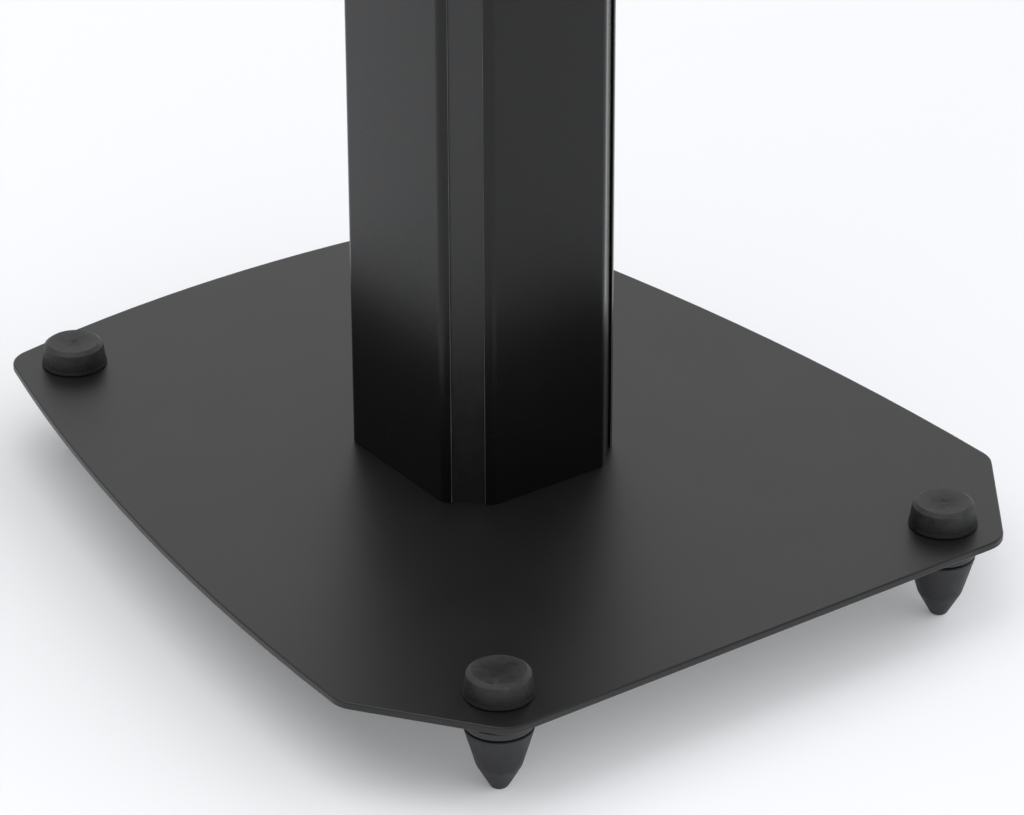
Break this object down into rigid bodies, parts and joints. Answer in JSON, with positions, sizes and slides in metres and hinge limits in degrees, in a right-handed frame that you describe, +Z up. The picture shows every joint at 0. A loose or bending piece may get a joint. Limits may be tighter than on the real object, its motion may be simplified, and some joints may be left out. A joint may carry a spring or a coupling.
{
  "type": "speaker stand",
  "caption": "Free-standing speaker stand: boat-shaped steel base on levelling feet, clad rectangular column, small top plate.",
  "frame": {"origin": "on the floor, in the middle of the base plate's outline", "axes": "+Z up, -Y towards the front (the straight edge with the chamfered corners), +X to the right seen from the front"},
  "size_m": [0.297, 0.35, 0.612],
  "materials": {
    "plate_paint": "fine matt powder coat, near black",
    "panel_satin": "smooth satin black",
    "core_texture": "fine textured black powder coat",
    "bare_steel": "machined steel",
    "plated_steel": "black zinc plated steel",
    "black_screws": "blackened steel",
    "ring_satin": "satin black",
    "foot_rubber": "matt moulded rubber",
    "pad_rubber": "soft matt rubber"
  },
  "bodies": {
    "root": {"base_plate": "plate_paint", "top_plate": "plate_paint", "panel_front": "panel_satin", "panel_rear": "panel_satin", "panel_left": "panel_satin", "panel_right": "panel_satin", "core_tube": "core_texture", "lower_flange": "bare_steel", "upper_flange": "bare_steel", "base_screws": "black_screws", "base_washers": "black_screws", "top_screws": "black_screws", "bush_front_left": "ring_satin", "top_pad_front_left": "pad_rubber", "bush_front_right": "ring_satin", "top_pad_front_right": "pad_rubber", "bush_rear_left": "ring_satin", "top_pad_rear_left": "pad_rubber", "bush_rear_right": "ring_satin", "top_pad_rear_right": "pad_rubber"},
    "boot_front_left": {"boot_front_left": "foot_rubber"},
    "spike_front_left": {"spike_front_left": "plated_steel"},
    "lock_ring_front_left": {"lock_ring_front_left": "ring_satin"},
    "cap_front_left": {"cap_front_left": "foot_rubber"},
    "boot_front_right": {"boot_front_right": "foot_rubber"},
    "spike_front_right": {"spike_front_right": "plated_steel"},
    "lock_ring_front_right": {"lock_ring_front_right": "ring_satin"},
    "cap_front_right": {"cap_front_right": "foot_rubber"},
    "boot_rear_left": {"boot_rear_left": "foot_rubber"},
    "spike_rear_left": {"spike_rear_left": "plated_steel"},
    "lock_ring_rear_left": {"lock_ring_rear_left": "ring_satin"},
    "cap_rear_left": {"cap_rear_left": "foot_rubber"},
    "boot_rear_right": {"boot_rear_right": "foot_rubber"},
    "spike_rear_right": {"spike_rear_right": "plated_steel"},
    "lock_ring_rear_right": {"lock_ring_rear_right": "ring_satin"},
    "cap_rear_right": {"cap_rear_right": "foot_rubber"}
  },
  "joints": [
    {"name": "foot_travel_front_left", "type": "slide", "parent": "root", "child": "boot_front_left", "axis": [0, 0, -1], "range_m": [0, 0.008]},
    {"name": "foot_turn_front_left", "type": "hinge", "parent": "boot_front_left", "child": "spike_front_left", "pos_m": [-0.1005, -0.1531, 0.034], "axis": [0, 0, -1], "range_deg": [0, 2340]},
    {"name": "lock_ring_turn_front_left", "type": "hinge", "parent": "root", "child": "lock_ring_front_left", "pos_m": [-0.1005, -0.1531, 0.0275], "axis": [0, 0, -1], "range_deg": [-180, 180]},
    {"name": "cap_lift_front_left", "type": "slide", "parent": "root", "child": "cap_front_left", "axis": [0, 0, 1], "range_m": [0, 0.02]},
    {"name": "foot_travel_front_right", "type": "slide", "parent": "root", "child": "boot_front_right", "axis": [0, 0, -1], "range_m": [0, 0.008]},
    {"name": "foot_turn_front_right", "type": "hinge", "parent": "boot_front_right", "child": "spike_front_right", "pos_m": [0.1005, -0.1531, 0.034], "axis": [0, 0, -1], "range_deg": [0, 2340]},
    {"name": "lock_ring_turn_front_right", "type": "hinge", "parent": "root", "child": "lock_ring_front_right", "pos_m": [0.1005, -0.1531, 0.0275], "axis": [0, 0, -1], "range_deg": [-180, 180]},
    {"name": "cap_lift_front_right", "type": "slide", "parent": "root", "child": "cap_front_right", "axis": [0, 0, 1], "range_m": [0, 0.02]},
    {"name": "foot_travel_rear_left", "type": "slide", "parent": "root", "child": "boot_rear_left", "axis": [0, 0, -1], "range_m": [0, 0.008]},
    {"name": "foot_turn_rear_left", "type": "hinge", "parent": "boot_rear_left", "child": "spike_rear_left", "pos_m": [-0.092, 0.1451, 0.034], "axis": [0, 0, -1], "range_deg": [0, 2340]},
    {"name": "lock_ring_turn_rear_left", "type": "hinge", "parent": "root", "child": "lock_ring_rear_left", "pos_m": [-0.092, 0.1451, 0.0275], "axis": [0, 0, -1], "range_deg": [-180, 180]},
    {"name": "cap_lift_rear_left", "type": "slide", "parent": "root", "child": "cap_rear_left", "axis": [0, 0, 1], "range_m": [0, 0.02]},
    {"name": "foot_travel_rear_right", "type": "slide", "parent": "root", "child": "boot_rear_right", "axis": [0, 0, -1], "range_m": [0, 0.008]},
    {"name": "foot_turn_rear_right", "type": "hinge", "parent": "boot_rear_right", "child": "spike_rear_right", "pos_m": [0.092, 0.1451, 0.034], "axis": [0, 0, -1], "range_deg": [0, 2340]},
    {"name": "lock_ring_turn_rear_right", "type": "hinge", "parent": "root", "child": "lock_ring_rear_right", "pos_m": [0.092, 0.1451, 0.0275], "axis": [0, 0, -1], "range_deg": [-180, 180]},
    {"name": "cap_lift_rear_right", "type": "slide", "parent": "root", "child": "cap_rear_right", "axis": [0, 0, 1], "range_m": [0, 0.02]}
  ],
  "couplings": [
    {"joint": "foot_turn_front_left", "follows": "foot_travel_front_left", "rad_per_m": 5026.5},
    {"joint": "foot_turn_front_right", "follows": "foot_travel_front_right", "rad_per_m": 5026.5},
    {"joint": "foot_turn_rear_left", "follows": "foot_travel_rear_left", "rad_per_m": 5026.5},
    {"joint": "foot_turn_rear_right", "follows": "foot_travel_rear_right", "rad_per_m": 5026.5}
  ]
}
